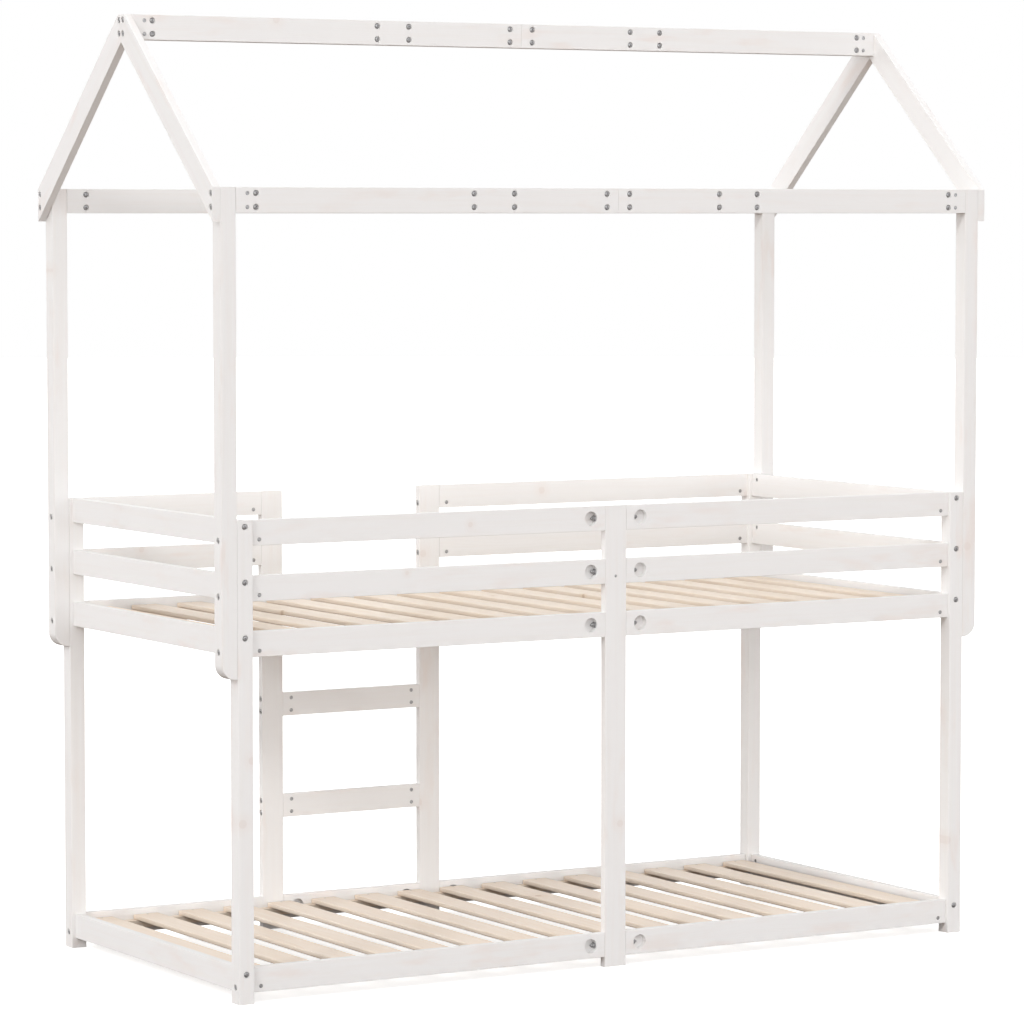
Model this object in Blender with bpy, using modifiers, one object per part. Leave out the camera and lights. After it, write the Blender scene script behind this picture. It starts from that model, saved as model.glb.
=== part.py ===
"""House-frame bunk bed with a ladder, in metres, +Z up.

+X runs along the bed to its right, -Y is its front, and the origin is on the floor under its middle.
Every piece is one board or post of the real bed, drilled for its bolts, barrel nuts and nut pockets.
"""

import math

import bmesh
import bpy
from mathutils import Matrix, Vector

# Mattress well and timber sections
WELL_LENGTH = 2.000
WELL_WIDTH = 0.900
POST = 0.040
BOARD_WIDE = 0.060
BOARD_THICK = 0.020
END_OVER_WELL = 0.030
SIDE_OVER_WELL = 0.030

# Outer faces of the lower frame, half of each side
HALF_LENGTH = WELL_LENGTH / 2 + END_OVER_WELL
HALF_WIDTH = WELL_WIDTH / 2 + SIDE_OVER_WELL

# Heights of the four rail levels, measured to each rail's lower edge
FLOOR_LEVEL = 0.025
BED_LEVEL = 0.807
RAIL_PITCH = 0.129
MID_LEVEL = BED_LEVEL + RAIL_PITCH
TOP_LEVEL = MID_LEVEL + RAIL_PITCH
LEVELS = {"floor_rail": FLOOR_LEVEL, "bed_rail": BED_LEVEL, "mid_guard": MID_LEVEL, "top_guard": TOP_LEVEL}
LOWER_TOP = TOP_LEVEL + BOARD_WIDE

# Roof
ROOF_POST_FOOT = 0.757
ROOF_POST_CORNER = 0.035
EAVE_TOP = 1.890
RIDGE_TOP = 2.300
RAFTER_FOOT = 1.808
RAFTER_PEAK_UNDER = 2.234
RIDGE_FLAT = 0.016
INNER_JOINT_SHARE = 1 / 3

# Ladder in the back side
LADDER_RIGHT_CENTRE = 0.0
LADDER_CLEAR_WIDTH = 0.400
RUNG_BOTTOMS = {"lower": 0.286, "upper": 0.547}

# Slatted decks
SLAT_COUNT = 16
SLAT_WIDE = 0.070
SLAT_THICK = 0.012
SLAT_LONG = 0.894
SLAT_PITCH = 0.1265
LEDGER = 0.020
LEDGER_LONG = 1.970
LEDGER_ABOVE_RAIL = 0.013
SLAT_LET_IN = 0.0005

# Bolts, barrel nuts and pockets
BORE_D = 0.0080
HEAD_D = 0.0150
HEAD_DEEP = 0.0040
BARREL_D = 0.0100
BARREL_DEEP = 0.0150
BARREL_FROM_END = 0.022
RUNG_BARREL_FROM_END = 0.024
END_BORE_DEEP = 0.034
POCKET_D = 0.035
POCKET_DEEP = 0.016
POCKET_FROM_END = 0.040
LENGTHWISE_BOLT_UP = 0.014
CROSSWISE_BOLT_UP = 0.045
PAIR_HALF = 0.016
EAVE_BOLTS = (0.032, 0.290, 0.400, 0.978)
RIDGE_BOLTS = (0.032, 0.320, 0.408, 1.016)
EAVE_BARREL_X = 1.000
RIDGE_BARREL_X = 1.037

# Every face stands this far inside its nominal plane, so that neighbours never touch
CLEAR = 0.00015
EDGE_ROUND = 0.0025
POST_ROUND = 0.0030
ROUND_FROM_ANGLE = math.radians(40)

# A cutter stands this far out of the face that it cuts
PAST = 0.0010

# Points of an outline that lie this close are one, and edges between faces this level are dropped
WELD = 0.00001
LEVEL_ANGLE = math.radians(1)

# Flat sides of the round cuts, and steps of a roof post's rounded corner
BORE_SIDES = 6
SINK_SIDES = 8
POCKET_SIDES = 12
CORNER_STEPS = 5

# Finishes: colour and roughness
WHITE_PAINT = ((0.80, 0.78, 0.76), 0.55)
BARE_PINE = ((0.84, 0.70, 0.54), 0.65)
GROUP_SIZE = 0.1

X_AXIS = Vector((1, 0, 0))
Y_AXIS = Vector((0, 1, 0))
SIDES = {"left": -1, "right": 1}
FACES = {"front": -1, "back": 1}

ROOF_POST_OUT = HALF_LENGTH + POST
RAFTER_OUT = ROOF_POST_OUT + BOARD_THICK
POST_X = HALF_LENGTH - POST / 2
POST_Y = HALF_WIDTH - POST / 2
POST_INNER_X = HALF_LENGTH - POST
POST_INNER_Y = HALF_WIDTH - POST
LADDER_RIGHT = (LADDER_RIGHT_CENTRE - BOARD_WIDE / 2, LADDER_RIGHT_CENTRE + BOARD_WIDE / 2)
LADDER_LEFT = (LADDER_RIGHT[0] - LADDER_CLEAR_WIDTH - BOARD_WIDE, LADDER_RIGHT[0] - LADDER_CLEAR_WIDTH)
EAVE_MID = EAVE_TOP - BOARD_WIDE / 2
RIDGE_MID = RIDGE_TOP - BOARD_WIDE / 2


def clear_scene():
    for obj in list(bpy.data.objects):
        bpy.data.objects.remove(obj, do_unlink=True)


def new_collection(name):
    collection = bpy.data.collections.new(name)
    bpy.context.scene.collection.children.link(collection)
    return collection


def new_group(name):
    """An empty that holds one sub-assembly of the bed."""
    empty = bpy.data.objects.new(name, None)
    empty.empty_display_size = GROUP_SIZE
    BED.objects.link(empty)
    return empty


def wood(name, colour, roughness):
    material = bpy.data.materials.new(name)
    material.use_nodes = True
    shader = material.node_tree.nodes["Principled BSDF"]
    shader.inputs["Base Color"].default_value = (*colour, 1)
    shader.inputs["Roughness"].default_value = roughness
    shader.inputs["Metallic"].default_value = 0
    return material


def painted(name):
    return wood(name + "_white_paint", *WHITE_PAINT)


def natural(name):
    return wood(name + "_bare_pine", *BARE_PINE)


def box_mesh(name, lo, hi):
    """A box about its own middle, from a unit cube with its scale applied."""
    mesh = bpy.data.meshes.new(name)
    form = bmesh.new()
    bmesh.ops.create_cube(form, size=1)
    size = Vector(hi) - Vector(lo)
    bmesh.ops.transform(form, matrix=Matrix.Diagonal((*size, 1)), verts=form.verts)
    form.to_mesh(mesh)
    form.free()
    return mesh


def place(mesh, name, group, material, location=(0, 0, 0)):
    obj = bpy.data.objects.new(name, mesh)
    BED.objects.link(obj)
    obj.parent = group
    obj.location = location
    mesh.materials.append(material)
    return obj


def round_edges(obj, width):
    bevel = obj.modifiers.new("rounded_edges", "BEVEL")
    bevel.width = width
    bevel.segments = 1
    bevel.limit_method = "ANGLE"
    bevel.angle_limit = ROUND_FROM_ANGLE


def hole(start, way, depth, diameter, sides):
    """A round hole that starts at a point and runs along way, a unit vector, for its depth."""
    return Vector(start), Vector(way), depth, diameter, sides


def cutter_of(name, holes, location):
    """One helper object with a cylinder for each hole; the cylinders of one cutter never cross."""
    form = bmesh.new()
    for start, way, depth, diameter, sides in holes:
        turn = way.to_track_quat("Z", "Y").to_matrix().to_4x4()
        middle = start + way * depth / 2 - location
        half_step = Matrix.Rotation(math.pi / sides, 4, "Z")
        bmesh.ops.create_cone(form, cap_ends=True, segments=sides, radius1=diameter / 2,
                              radius2=diameter / 2, depth=depth,
                              matrix=Matrix.Translation(middle) @ turn @ half_step)
    mesh = bpy.data.meshes.new(name)
    form.to_mesh(mesh)
    form.free()
    obj = bpy.data.objects.new(name, mesh)
    CUTTERS.objects.link(obj)
    obj.location = location
    obj.hide_render = True
    obj.display_type = "WIRE"
    return obj


def cut(obj, label, holes):
    if not holes:
        return
    drill = obj.modifiers.new(label, "BOOLEAN")
    drill.operation = "DIFFERENCE"
    drill.solver = "EXACT"
    drill.object = cutter_of(obj.name + "_" + label, holes, obj.location)


def board(name, group, x, y, z, bores=(), sinks=(), edge=EDGE_ROUND):
    """A post or board between nominal planes. x, y and z are (low, high); only z = 0 stays exact."""
    lo = Vector((min(x), min(y), min(z)))
    hi = Vector((max(x), max(y), max(z)))
    on_floor = lo.z == 0
    lo += Vector((CLEAR, CLEAR, 0 if on_floor else CLEAR))
    hi -= Vector((CLEAR, CLEAR, CLEAR))
    obj = place(box_mesh(name, lo, hi), name, group, painted(name), (lo + hi) / 2)
    round_edges(obj, edge)
    cut(obj, "bores", bores)
    cut(obj, "sinks", sinks)
    return obj


def bore_x(from_x, to_x, y, z):
    """A bolt's clearance bore along X; it runs a little past both ends."""
    way = X_AXIS if to_x > from_x else -X_AXIS
    start = Vector((from_x, y, z)) - way * PAST
    return hole(start, way, abs(to_x - from_x) + 2 * PAST, BORE_D, BORE_SIDES)


def bore_y(from_y, to_y, x, z):
    way = Y_AXIS if to_y > from_y else -Y_AXIS
    start = Vector((x, from_y, z)) - way * PAST
    return hole(start, way, abs(to_y - from_y) + 2 * PAST, BORE_D, BORE_SIDES)


def head_sink(point, inward):
    """The counterbore of a bolt head, from the face at point."""
    return hole(Vector(point) - inward * PAST, inward, HEAD_DEEP + PAST, HEAD_D, SINK_SIDES)


def barrel_sink(point, inward):
    return hole(Vector(point) - inward * PAST, inward, BARREL_DEEP + PAST, BARREL_D, SINK_SIDES)


def pocket_sink(point, inward):
    return hole(Vector(point) - inward * PAST, inward, POCKET_DEEP + PAST, POCKET_D, POCKET_SIDES)


def lower_posts(group):
    """Corner posts: at each level one bolt runs lengthwise into a long rail, one crosswise into an end rail."""
    for face, fy in FACES.items():
        for side, sx in SIDES.items():
            bores = []
            sinks = []
            for level in LEVELS.values():
                crosswise = level + CROSSWISE_BOLT_UP
                bores.append(bore_x(sx * HALF_LENGTH, sx * POST_INNER_X, fy * POST_Y, level + LENGTHWISE_BOLT_UP))
                bores.append(bore_y(fy * HALF_WIDTH, fy * POST_INNER_Y, sx * POST_X, crosswise))
                sinks.append(head_sink((sx * POST_X, fy * HALF_WIDTH, crosswise), -fy * Y_AXIS))
            floor_bolt = (sx * HALF_LENGTH, fy * POST_Y, FLOOR_LEVEL + LENGTHWISE_BOLT_UP)
            sinks.append(head_sink(floor_bolt, -sx * X_AXIS))
            board(f"post_{face}_{side}", group, (sx * HALF_LENGTH, sx * POST_INNER_X),
                  (fy * HALF_WIDTH, fy * POST_INNER_Y), (0, LOWER_TOP), bores, sinks, POST_ROUND)


def end_rails(group):
    """Rails across both ends, with barrel nuts entered from the inner face."""
    for side, sx in SIDES.items():
        for level_name, level in LEVELS.items():
            height = level + CROSSWISE_BOLT_UP
            inner = sx * (POST_X - BOARD_THICK / 2)
            bores = []
            sinks = []
            for fy in FACES.values():
                end = fy * POST_INNER_Y
                bores.append(bore_y(end, end - fy * END_BORE_DEEP, sx * POST_X, height))
                sinks.append(barrel_sink((inner, end - fy * BARREL_FROM_END, height), sx * X_AXIS))
            board(f"{side}_end_{level_name}", group, (inner, inner + sx * BOARD_THICK),
                  (-POST_INNER_Y, POST_INNER_Y), (level, level + BOARD_WIDE), bores, sinks)


def long_rail(name, group, fy, level, left, right, open_face):
    """A lengthwise rail. left and right are (x, kind); open_face is the sign of Y that its sinks open to."""
    y = fy * POST_Y
    face_y = y + open_face * BOARD_THICK / 2
    inward = -open_face * Y_AXIS
    bores = []
    sinks = []
    for (x, kind), away in ((left, 1), (right, -1)):
        if kind == "barrel":
            height = level + LENGTHWISE_BOLT_UP
            bores.append(bore_x(x, x + away * END_BORE_DEEP, y, height))
            sinks.append(barrel_sink((x + away * BARREL_FROM_END, face_y, height), inward))
        else:
            height = level + BOARD_WIDE / 2
            bores.append(bore_x(x, x + away * POCKET_FROM_END, y, height))
            sinks.append(pocket_sink((x + away * POCKET_FROM_END, face_y, height), inward))
    board(name, group, (left[0], right[0]), (y - BOARD_THICK / 2, y + BOARD_THICK / 2),
          (level, level + BOARD_WIDE), bores, sinks)


def front_rails(group):
    """Four levels, each of two rails that butt on the front centre post."""
    middle = BOARD_WIDE / 2
    for level_name, level in LEVELS.items():
        long_rail(f"front_{level_name}_left", group, -1, level, (-POST_INNER_X, "barrel"), (-middle, "pocket"), -1)
        long_rail(f"front_{level_name}_right", group, -1, level, (middle, "pocket"), (POST_INNER_X, "barrel"), -1)


def back_rails(group):
    """The two lower levels run across the ladder; the two guards leave its way in open."""
    for level_name, level in LEVELS.items():
        guard = level_name.endswith("guard")
        kind = "barrel" if guard else "pocket"
        long_rail(f"back_{level_name}_left", group, 1, level, (-POST_INNER_X, "barrel"), (LADDER_LEFT[0], kind), -1)
        long_rail(f"back_{level_name}_right", group, 1, level, (LADDER_RIGHT[1], kind), (POST_INNER_X, "barrel"), -1)
        if not guard:
            long_rail(f"back_{level_name}_middle", group, 1, level, (LADDER_LEFT[1], kind),
                      (LADDER_RIGHT[0], kind), -1)


def front_centre_post(group):
    """A flat post with one through bolt at each level, shared by the rails on both its sides."""
    half = BOARD_WIDE / 2
    bores = []
    for level in LEVELS.values():
        bores.append(bore_x(-half, half, -POST_Y, level + BOARD_WIDE / 2))
    board("front_centre_post", group, (-half, half), (-POST_Y - BOARD_THICK / 2, -POST_Y + BOARD_THICK / 2),
          (0, LOWER_TOP), bores)


def ladder_uprights(group):
    for side, (low, high) in {"left": LADDER_LEFT, "right": LADDER_RIGHT}.items():
        opening = high if side == "left" else low
        outer = low if side == "left" else high
        into = Vector((math.copysign(1, outer - opening), 0, 0))
        bores = []
        sinks = []
        for level_name, level in LEVELS.items():
            guard = level_name.endswith("guard")
            height = level + (LENGTHWISE_BOLT_UP if guard else BOARD_WIDE / 2)
            bores.append(bore_x(low, high, POST_Y, height))
            if guard:
                sinks.append(head_sink((opening, POST_Y, height), into))
        for bottom in RUNG_BOTTOMS.values():
            for up in (-PAIR_HALF, PAIR_HALF):
                height = bottom + BOARD_WIDE / 2 + up
                bores.append(bore_x(low, high, POST_Y, height))
                sinks.append(head_sink((outer, POST_Y, height), -into))
        board(f"ladder_upright_{side}", group, (low, high),
              (POST_Y - BOARD_THICK / 2, POST_Y + BOARD_THICK / 2), (0, LOWER_TOP), bores, sinks)


def ladder_rungs(group):
    for rung, bottom in RUNG_BOTTOMS.items():
        bores = []
        sinks = []
        for up in (-PAIR_HALF, PAIR_HALF):
            height = bottom + BOARD_WIDE / 2 + up
            for end, away in ((LADDER_LEFT[1], 1), (LADDER_RIGHT[0], -1)):
                bores.append(bore_x(end, end + away * END_BORE_DEEP, POST_Y, height))
                nut = (end + away * RUNG_BARREL_FROM_END, POST_Y - BOARD_THICK / 2, height)
                sinks.append(barrel_sink(nut, Y_AXIS))
        board(f"ladder_rung_{rung}", group, (LADDER_LEFT[1], LADDER_RIGHT[0]),
              (POST_Y - BOARD_THICK / 2, POST_Y + BOARD_THICK / 2), (bottom, bottom + BOARD_WIDE), bores, sinks)


def outline_plate(name, group, points, thickness, location, edge):
    """A flat piece cut to an outline in the YZ or XZ plane: a filled curve with thickness, made a mesh."""
    curve = bpy.data.curves.new(name + "_outline", "CURVE")
    curve.dimensions = "2D"
    curve.fill_mode = "BOTH"
    curve.extrude = thickness / 2
    spline = curve.splines.new("POLY")
    spline.points.add(len(points) - 1)
    for point, (across, up) in zip(spline.points, points):
        point.co = (across, up, 0, 1)
    spline.use_cyclic_u = True
    flat = bpy.data.objects.new(name + "_outline", curve)
    BED.objects.link(flat)
    bpy.context.view_layer.update()
    graph = bpy.context.evaluated_depsgraph_get()
    mesh = bpy.data.meshes.new_from_object(flat.evaluated_get(graph))
    bpy.data.objects.remove(flat)
    form = bmesh.new()
    form.from_mesh(mesh)
    bmesh.ops.remove_doubles(form, verts=form.verts, dist=WELD)
    bmesh.ops.dissolve_limit(form, angle_limit=LEVEL_ANGLE, verts=form.verts, edges=form.edges)
    form.to_mesh(mesh)
    form.free()
    mesh.name = name
    mesh.materials.clear()
    obj = place(mesh, name, group, painted(name), location)
    round_edges(obj, edge)
    return obj


def roof_posts(group):
    """Upper posts on the outer ends of the corner posts; the lower outer corner is rounded."""
    for face, fy in FACES.items():
        for side, sx in SIDES.items():
            inner = sx * (HALF_LENGTH + CLEAR)
            outer = sx * (ROOF_POST_OUT - CLEAR)
            foot = ROOF_POST_FOOT + CLEAR
            top = EAVE_TOP - CLEAR
            centre_x = outer - sx * ROOF_POST_CORNER
            corner = []
            for step in range(CORNER_STEPS + 1):
                turn = math.pi / 2 * step / CORNER_STEPS
                corner.append((centre_x + sx * ROOF_POST_CORNER * math.sin(turn),
                               foot + ROOF_POST_CORNER * (1 - math.cos(turn))))
            points = [(inner, foot), *corner, (outer, top), (inner, top)]
            name = f"roof_post_{face}_{side}"
            obj = outline_plate(name, group, points, POST - 2 * CLEAR, (0, fy * POST_Y, 0), POST_ROUND)
            obj.rotation_euler = (math.pi / 2, 0, 0)
            bores = []
            sinks = []
            for level in (BED_LEVEL, MID_LEVEL, TOP_LEVEL):
                height = level + LENGTHWISE_BOLT_UP
                bores.append(bore_x(sx * HALF_LENGTH, sx * ROOF_POST_OUT, fy * POST_Y, height))
                sinks.append(head_sink((sx * ROOF_POST_OUT, fy * POST_Y, height), -sx * X_AXIS))
            for up in (-PAIR_HALF, PAIR_HALF):
                across = fy * (HALF_WIDTH - BOARD_THICK / 2)
                bores.append(bore_x(sx * HALF_LENGTH, sx * ROOF_POST_OUT, across, EAVE_MID + up))
            cut(obj, "bores", bores)
            cut(obj, "sinks", sinks)


def rafters(group):
    """Sloping boards outside the roof posts. A front and a back one meet in an upright joint at the peak."""
    for face, fy in FACES.items():
        for side, sx in SIDES.items():
            foot_y = fy * (HALF_WIDTH - CLEAR)
            peak_y = fy * CLEAR
            points = [(foot_y, RAFTER_FOOT), (foot_y, EAVE_TOP - CLEAR), (fy * RIDGE_FLAT, RIDGE_TOP - CLEAR),
                      (peak_y, RIDGE_TOP - CLEAR), (peak_y, RAFTER_PEAK_UNDER)]
            name = f"rafter_{face}_{side}"
            middle_x = sx * (ROOF_POST_OUT + BOARD_THICK / 2)
            obj = outline_plate(name, group, points, BOARD_THICK - 2 * CLEAR, (middle_x, 0, 0), EDGE_ROUND)
            obj.rotation_euler = (math.pi / 2, 0, math.pi / 2)
            bores = []
            sinks = []
            foot = fy * (HALF_WIDTH - BOARD_THICK / 2)
            peak = fy * BOARD_THICK / 2
            for across, middle in ((foot, EAVE_MID), (peak, RIDGE_MID)):
                for up in (-PAIR_HALF, PAIR_HALF):
                    bores.append(bore_x(sx * ROOF_POST_OUT, sx * RAFTER_OUT, across, middle + up))
                    sinks.append(head_sink((sx * RAFTER_OUT, across, middle + up), -sx * X_AXIS))
            cut(obj, "bores", bores)
            cut(obj, "sinks", sinks)


def beam_board(name, group, x_span, y_span, middle, bolts, barrel_x, open_face):
    """One board of a two-layer roof beam. open_face is the sign of Y of its face away from the other layer,
    where the tie bolts' heads and the barrel nuts go in."""
    low, high = x_span
    open_y = max(y_span) if open_face > 0 else min(y_span)
    inward = -open_face * Y_AXIS
    bores = []
    ends = []
    sinks = []
    for up in (-PAIR_HALF, PAIR_HALF):
        for bolt in bolts:
            for x in (-bolt, bolt):
                if low < x < high:
                    bores.append(bore_y(y_span[0], y_span[1], x, middle + up))
                    sinks.append(head_sink((x, open_y, middle + up), inward))
        for end, away in ((low, 1), (high, -1)):
            nut_x = -away * barrel_x
            if barrel_x and low < nut_x < high:
                y = sum(y_span) / 2
                ends.append(bore_x(end, nut_x, y, middle + up))
                sinks.append(barrel_sink((nut_x, open_y, middle + up), inward))
    obj = board(name, group, x_span, y_span, (middle - BOARD_WIDE / 2, middle + BOARD_WIDE / 2), bores, sinks)
    cut(obj, "end_bores", ends)


def roof_beam(name, group, half_length, near, far, middle, bolts, barrel_x, open_face, both_barrels):
    """A beam of two boards in its near layer and three in its far layer, with no two joints in line."""
    joint = half_length * INNER_JOINT_SHARE
    for part, span in {"left": (-half_length, 0), "right": (0, half_length)}.items():
        beam_board(f"{name}_outer_{part}", group, span, near, middle, bolts, barrel_x, open_face)
    spans = {"left": (-half_length, -joint), "middle": (-joint, joint), "right": (joint, half_length)}
    for part, span in spans.items():
        nuts = barrel_x if both_barrels else 0
        beam_board(f"{name}_inner_{part}", group, span, far, middle, bolts, nuts, -open_face)


def roof_beams(group):
    for face, fy in FACES.items():
        outer = HALF_WIDTH
        joint = HALF_WIDTH - BOARD_THICK
        inner = joint - BOARD_THICK
        near = tuple(sorted((fy * outer, fy * joint)))
        far = tuple(sorted((fy * joint, fy * inner)))
        roof_beam(f"{face}_eave", group, HALF_LENGTH, near, far, EAVE_MID, EAVE_BOLTS, EAVE_BARREL_X, fy, False)
    roof_beam("ridge", group, ROOF_POST_OUT, (-BOARD_THICK, 0), (0, BOARD_THICK), RIDGE_MID,
              RIDGE_BOLTS, RIDGE_BARREL_X, -1, True)


def slat_deck(name, group, level):
    """Sixteen slats on two ledgers, joined into the one panel that rests between the long rails."""
    ledger_low = level + LEDGER_ABOVE_RAIL
    slat_low = ledger_low + LEDGER
    slats = bmesh.new()
    for index in range(SLAT_COUNT):
        x = (index - (SLAT_COUNT - 1) / 2) * SLAT_PITCH
        size = Matrix.Diagonal((SLAT_WIDE, SLAT_LONG, SLAT_THICK, 1))
        bmesh.ops.create_cube(slats, size=1, matrix=Matrix.Translation((x, 0, SLAT_THICK / 2)) @ size)
    mesh = bpy.data.meshes.new(name)
    slats.to_mesh(mesh)
    slats.free()
    obj = place(mesh, name, group, natural(name), (0, 0, slat_low))

    ledgers = bmesh.new()
    high = LEDGER + SLAT_LET_IN
    for fy in FACES.values():
        y = fy * (WELL_WIDTH / 2 - LEDGER / 2 - CLEAR)
        size = Matrix.Diagonal((LEDGER_LONG, LEDGER - 2 * CLEAR, high, 1))
        bmesh.ops.create_cube(ledgers, size=1, matrix=Matrix.Translation((0, y, high / 2)) @ size)
    ledger_mesh = bpy.data.meshes.new(name + "_ledgers")
    ledgers.to_mesh(ledger_mesh)
    ledgers.free()
    pair = bpy.data.objects.new(name + "_ledgers", ledger_mesh)
    CUTTERS.objects.link(pair)
    pair.location = (0, 0, ledger_low)
    pair.hide_render = True
    pair.display_type = "WIRE"
    join = obj.modifiers.new("ledgers", "BOOLEAN")
    join.operation = "UNION"
    join.solver = "EXACT"
    join.object = pair


clear_scene()
BED = new_collection("bunk_bed_with_ladder")
CUTTERS = new_collection("cutters")
FRAME_GROUP = new_group("bed_frame")
LADDER_GROUP = new_group("ladder")
ROOF_GROUP = new_group("roof")
DECK_GROUP = new_group("slat_decks")

lower_posts(FRAME_GROUP)
end_rails(FRAME_GROUP)
front_rails(FRAME_GROUP)
back_rails(FRAME_GROUP)
front_centre_post(FRAME_GROUP)
ladder_uprights(LADDER_GROUP)
ladder_rungs(LADDER_GROUP)
roof_posts(ROOF_GROUP)
rafters(ROOF_GROUP)
roof_beams(ROOF_GROUP)
slat_deck("slat_deck_lower", DECK_GROUP, FLOOR_LEVEL)
slat_deck("slat_deck_upper", DECK_GROUP, BED_LEVEL)
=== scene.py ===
"""Looks of a house-frame bunk bed with a ladder: painted pine boards, bare pine slats and steel fittings.

Metres, +Z up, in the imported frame: +X runs along the bed to its right and -Y is its front. Every board is
made again with finely rounded edges and clean drillings, and its bolts, nuts and screws are added.
"""

import math

import bmesh
import bpy
from mathutils import Euler, Matrix, Vector


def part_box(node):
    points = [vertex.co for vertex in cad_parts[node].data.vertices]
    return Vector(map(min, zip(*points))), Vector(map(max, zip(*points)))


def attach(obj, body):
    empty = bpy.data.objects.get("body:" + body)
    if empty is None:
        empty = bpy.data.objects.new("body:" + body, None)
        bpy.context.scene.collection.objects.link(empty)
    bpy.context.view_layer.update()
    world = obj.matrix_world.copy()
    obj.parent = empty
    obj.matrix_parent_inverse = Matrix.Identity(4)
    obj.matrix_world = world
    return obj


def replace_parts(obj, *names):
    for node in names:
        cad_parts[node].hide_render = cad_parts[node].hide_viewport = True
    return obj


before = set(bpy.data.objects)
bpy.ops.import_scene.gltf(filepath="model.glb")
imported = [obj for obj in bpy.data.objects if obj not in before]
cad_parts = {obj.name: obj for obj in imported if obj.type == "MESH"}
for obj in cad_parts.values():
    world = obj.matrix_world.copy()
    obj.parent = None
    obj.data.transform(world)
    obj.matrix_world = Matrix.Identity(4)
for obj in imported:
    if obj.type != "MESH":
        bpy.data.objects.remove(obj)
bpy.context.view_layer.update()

# Camera, at the photograph's viewing angle
CAMERA_AT = (-5.5628, -9.4296, 1.8272)
CAMERA_YAW = math.radians(30.469)
CAMERA_PITCH = math.radians(3.896)
CAMERA_LENS_MM = 153.61
CAMERA_FILM_MM = 36.0

# Timber sections and the heights of the rail levels, as in the CAD
POST = 0.040
BOARD_WIDE = 0.060
BOARD_THICK = 0.020
HALF_LENGTH = 1.030
HALF_WIDTH = 0.480
LEVELS = {"floor_rail": 0.025, "bed_rail": 0.807, "mid_guard": 0.936, "top_guard": 1.065}
POST_X = HALF_LENGTH - POST / 2
POST_Y = HALF_WIDTH - POST / 2
POST_INNER_Y = HALF_WIDTH - POST
ROOF_POST_CORNER = 0.035
EAVE_TOP = 1.890
RAFTER_PEAK_UNDER = 2.234
RIDGE_FLAT = 0.016
EAVE_MID = 1.860
RIDGE_MID = 2.270

# Slatted decks
SLAT_COUNT = 16
SLAT_WIDE = 0.070
SLAT_THICK = 0.012
SLAT_LONG = 0.894
SLAT_PITCH = 0.1265
LEDGER = 0.020
SLAT_SCREW_Y = 0.439
WELL_HALF_WIDTH = 0.450
GAP = 0.00015

# Drillings, as in the CAD
LENGTHWISE_UP = 0.014
CROSSWISE_UP = 0.045
PAIR_HALF = 0.016
BARREL_FROM_END = 0.022
RUNG_BARREL_FROM_END = 0.024
POCKET_FROM_END = 0.040
EAVE_BOLTS = (0.032, 0.290, 0.400, 0.978)
RIDGE_BOLTS = (0.032, 0.320, 0.408, 1.016)
EAVE_BARREL_X = 1.000
RIDGE_BARREL_X = 1.037
HEAD_SINK_R = 0.0075
HEAD_SINK_DEEP = 0.0040
BARREL_SINK_R = 0.0050
BARREL_SINK_DEEP = 0.0040
POCKET_R = 0.0175
POCKET_DEEP = 0.016
SCREW_SINK_R = 0.0036
SCREW_SINK_DEEP = 0.0030
SCREW_SINK_RIM = 0.0005
SCREW_TIP_R = 0.0012
CENTRE_SCREW_Z = 0.954
MOUTH = 0.0004
PAST = 0.002

# Edge rounding: along the grain, and finer round the sawn ends so that butt joints stay tight
BOARD_ROUND = 0.0012
POST_ROUND = 0.0015
SLAT_ROUND = 0.0032
LEDGER_ROUND = 0.0015
END_ROUND = 0.0004
ROUND_STEPS = 5
END_STEPS = 2
END_FACE_AREA = 0.00025
END_FACING = 0.5
CORNER_STEPS = 14
SHARP = math.radians(35)
TINY = 1e-6

X_AXIS = Vector((1, 0, 0))
Y_AXIS = Vector((0, 1, 0))
Z_AXIS = Vector((0, 0, 1))
SIDES = {"left": -1, "right": 1}
FACES = {"front": -1, "back": 1}


# ---------------------------------------------------------------- camera, floor and light

def add_camera():
    data = bpy.data.cameras.new("camera")
    data.lens = CAMERA_LENS_MM
    data.sensor_width = CAMERA_FILM_MM
    camera = bpy.data.objects.new("camera", data)
    camera.location = CAMERA_AT
    camera.rotation_euler = Euler((math.pi / 2 - CAMERA_PITCH, 0, -CAMERA_YAW))
    bpy.context.scene.collection.objects.link(camera)
    bpy.context.scene.camera = camera


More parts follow.
